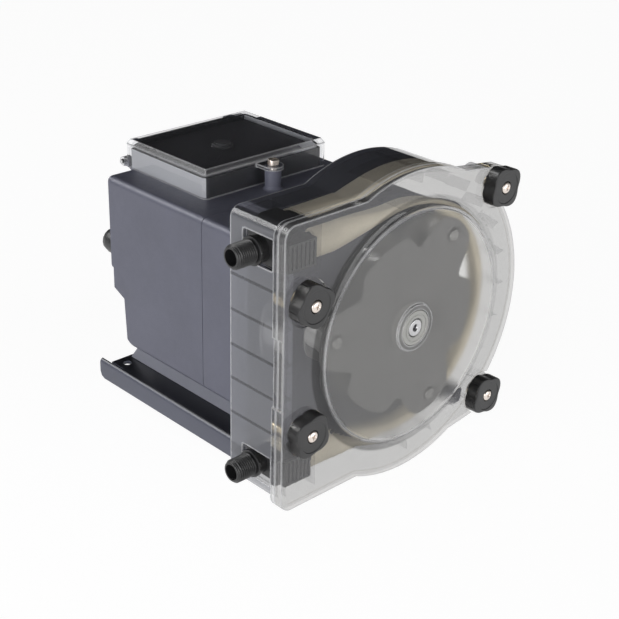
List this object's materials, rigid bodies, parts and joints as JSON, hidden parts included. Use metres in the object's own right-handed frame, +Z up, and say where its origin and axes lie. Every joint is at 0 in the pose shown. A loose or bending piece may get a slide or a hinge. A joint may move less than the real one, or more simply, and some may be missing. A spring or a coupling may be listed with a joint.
{
  "type": "peristaltic pump",
  "caption": "Peristaltic tube pump with a smoked transparent head, roller rotor, hand knobs, clear-lidded control box, geared motor housing and channel bracket.",
  "frame": {"origin": "middle of the bounding box in X and Y, level with the lowest point of the round head rim; the bracket flanges end 5 mm above it", "axes": "+Z up, the pump head faces -Y, the ports point to -X, the motor is behind at +Y"},
  "size_m": [0.1912, 0.2046, 0.1742],
  "materials": {
    "smoke_cover": "transparent smoked polycarbonate, polished",
    "smoke_body": "transparent smoked polycarbonate, moulded",
    "clear_lid": "water-clear polycarbonate, polished",
    "slate_plastic": "fine-textured moulded plastic",
    "foot_plastic": "fine-textured moulded plastic",
    "painted_steel": "satin powder coat",
    "black_nylon": "satin glass-filled nylon",
    "knob_black": "satin thermoplastic",
    "panel_black": "dark satin plastic",
    "rotor_grey": "satin grey plastic",
    "roller_nylon": "smooth nylon",
    "white_acetal": "smooth white acetal",
    "beige_elastomer": "smooth thermoplastic elastomer",
    "steel": "turned steel",
    "screw_steel": "nickel-plated steel",
    "zinc_plate": "zinc-plated steel",
    "brass": "turned brass",
    "gear_acetal": "moulded acetal",
    "motor_iron": "laminated iron, varnished"
  },
  "bodies": {
    "pump_body": {"control_box": "slate_plastic", "control_panel": "panel_black", "cover_insert_lower_left": "brass", "cover_insert_lower_right": "brass", "cover_insert_upper_left": "brass", "cover_insert_upper_right": "brass", "foot_bolt_left": "zinc_plate", "foot_bolt_right": "zinc_plate", "gearbox_plate": "zinc_plate", "head_body": "smoke_body", "hinge_pin": "steel", "housing_front": "slate_plastic", "housing_rear": "slate_plastic", "idler_shaft": "steel", "inlet_fitting": "black_nylon", "motor_end_bearing": "zinc_plate", "motor_stator": "motor_iron", "mounting_bracket": "painted_steel", "mounting_foot": "foot_plastic", "outlet_fitting": "black_nylon", "power_gland": "black_nylon", "rear_cover": "slate_plastic", "rear_screw_left": "screw_steel", "rear_screw_right": "screw_steel", "shaft_bearing_front": "brass", "signal_gland": "black_nylon", "squeeze_tube": "beige_elastomer"},
    "rotor": {"output_shaft": "steel", "drive_gear": "gear_acetal", "rotor_front_plate": "rotor_grey", "rotor_rear_plate": "rotor_grey", "rotor_hub": "rotor_grey", "roller_pin_1": "steel", "roller_pin_2": "steel", "roller_pin_3": "steel", "rotor_spacer_1": "steel", "rotor_spacer_2": "steel", "rotor_spacer_3": "steel"},
    "cover": {"front_cover": "smoke_cover", "hub_bushing": "white_acetal"},
    "idler": {"idler_gear": "gear_acetal"},
    "motor_armature": {"motor_shaft": "steel", "motor_rotor": "steel"},
    "dial": {"speed_dial": "black_nylon"},
    "lid": {"clear_lid": "clear_lid"},
    "lid_fastener": {"lid_screw": "brass"},
    "roller_body_1": {"roller_1": "roller_nylon"},
    "roller_body_2": {"roller_2": "roller_nylon"},
    "roller_body_3": {"roller_3": "roller_nylon"},
    "hand_knob_upper_left": {"knob_upper_left": "knob_black", "knob_screw_upper_left": "screw_steel"},
    "hand_knob_lower_left": {"knob_lower_left": "knob_black", "knob_screw_lower_left": "screw_steel"},
    "hand_knob_upper_right": {"knob_upper_right": "knob_black", "knob_screw_upper_right": "screw_steel"},
    "hand_knob_lower_right": {"knob_lower_right": "knob_black", "knob_screw_lower_right": "screw_steel"}
  },
  "joints": [
    {"name": "rotor_spin", "type": "hinge", "parent": "pump_body", "child": "rotor", "pos_m": [0.0084, -0.05245, 0.0872], "axis": [0, -1, 0], "continuous": true},
    {"name": "roller_1_spin", "type": "hinge", "parent": "rotor", "child": "roller_body_1", "pos_m": [0.04072, -0.05245, 0.13009], "axis": [0, -1, 0], "continuous": true},
    {"name": "roller_2_spin", "type": "hinge", "parent": "rotor", "child": "roller_body_2", "pos_m": [-0.0449, -0.05245, 0.09374], "axis": [0, -1, 0], "continuous": true},
    {"name": "roller_3_spin", "type": "hinge", "parent": "rotor", "child": "roller_body_3", "pos_m": [0.02938, -0.05245, 0.03777], "axis": [0, -1, 0], "continuous": true},
    {"name": "idler_spin", "type": "hinge", "parent": "pump_body", "child": "idler", "pos_m": [-0.0216, -0.05245, 0.0647], "axis": [0, -1, 0], "continuous": true},
    {"name": "motor_spin", "type": "hinge", "parent": "pump_body", "child": "motor_armature", "pos_m": [0.0024, -0.05245, 0.0717], "axis": [0, -1, 0], "continuous": true},
    {"name": "cover_remove", "type": "slide", "parent": "pump_body", "child": "cover", "axis": [0, -1, 0], "range_m": [0, 0.06]},
    {"name": "knob_upper_left_turn", "type": "hinge", "parent": "cover", "child": "hand_knob_upper_left", "pos_m": [-0.0671, -0.05245, 0.1236], "axis": [0, -1, 0], "continuous": true},
    {"name": "knob_lower_left_turn", "type": "hinge", "parent": "cover", "child": "hand_knob_lower_left", "pos_m": [-0.0671, -0.05245, 0.0508], "axis": [0, -1, 0], "continuous": true},
    {"name": "knob_upper_right_turn", "type": "hinge", "parent": "cover", "child": "hand_knob_upper_right", "pos_m": [0.0732, -0.05245, 0.1512], "axis": [0, -1, 0], "continuous": true},
    {"name": "knob_lower_right_turn", "type": "hinge", "parent": "cover", "child": "hand_knob_lower_right", "pos_m": [0.0732, -0.05245, 0.0232], "axis": [0, -1, 0], "continuous": true},
    {"name": "dial_turn", "type": "hinge", "parent": "pump_body", "child": "dial", "pos_m": [0.0054, 0.05605, 0.1385], "axis": [0, 0, 1], "range_deg": [-135, 135]},
    {"name": "lid_open", "type": "hinge", "parent": "pump_body", "child": "lid", "pos_m": [0.0084, 0.09655, 0.1375], "axis": [-1, 0, 0], "range_deg": [0, 100]},
    {"name": "lid_screw_turn", "type": "hinge", "parent": "lid", "child": "lid_fastener", "pos_m": [0.0052, 0.01105, 0.1494], "axis": [0, 0, 1], "continuous": true}
  ],
  "couplings": [
    {"joint": "roller_1_spin", "follows": "rotor_spin", "ratio": -8.066},
    {"joint": "roller_2_spin", "follows": "rotor_spin", "ratio": -8.066},
    {"joint": "roller_3_spin", "follows": "rotor_spin", "ratio": -8.066},
    {"joint": "idler_spin", "follows": "rotor_spin", "ratio": -4},
    {"joint": "motor_spin", "follows": "rotor_spin", "ratio": 16}
  ]
}
